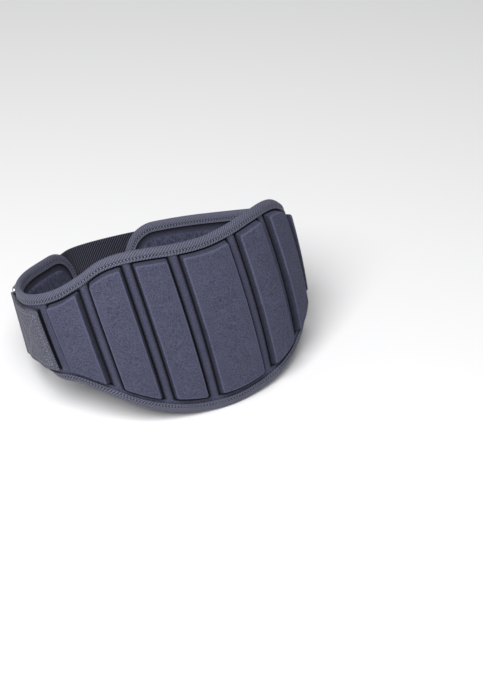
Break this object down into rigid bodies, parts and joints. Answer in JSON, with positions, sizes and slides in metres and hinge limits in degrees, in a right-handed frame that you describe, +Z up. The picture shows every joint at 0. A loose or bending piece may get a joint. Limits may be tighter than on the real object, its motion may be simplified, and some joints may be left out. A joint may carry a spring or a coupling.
{
  "type": "neoprene fitness belt",
  "caption": "Padded waist support belt with a tall ribbed back, taped edge, wire ring buckle and webbing closure strap, closed into its waist loop and standing.",
  "frame": {"origin": "on the surface that the belt stands on, under the middle of its bounding box", "axes": "+Z up; the ribbed back faces -Y and the strap closure is on the +Y side; +X is the side of the strap end, the wearer's right"},
  "size_m": [0.3338, 0.291, 0.1947],
  "materials": {
    "neoprene": "sponge rubber faced with fine matt jersey",
    "looped_lining": "soft looped knit",
    "twill_tape": "diagonal twill with a slight sheen",
    "tab_webbing": "woven polyester webbing",
    "strap_webbing": "woven polyester webbing, diagonal ribs",
    "steel_wire": "bright plated steel wire",
    "woven_label": "tight satin weave"
  },
  "bodies": {
    "root": {"belt_body": "neoprene", "inner_lining": "looped_lining", "edge_binding": "twill_tape", "rib_1": "neoprene", "rib_2": "neoprene", "rib_3": "neoprene", "rib_4": "neoprene", "rib_5": "neoprene", "rib_6": "neoprene", "rib_7": "neoprene", "buckle_tab": "tab_webbing", "buckle_ring": "steel_wire", "closure_strap": "strap_webbing", "label_patch": "woven_label"}
  },
  "joints": []
}
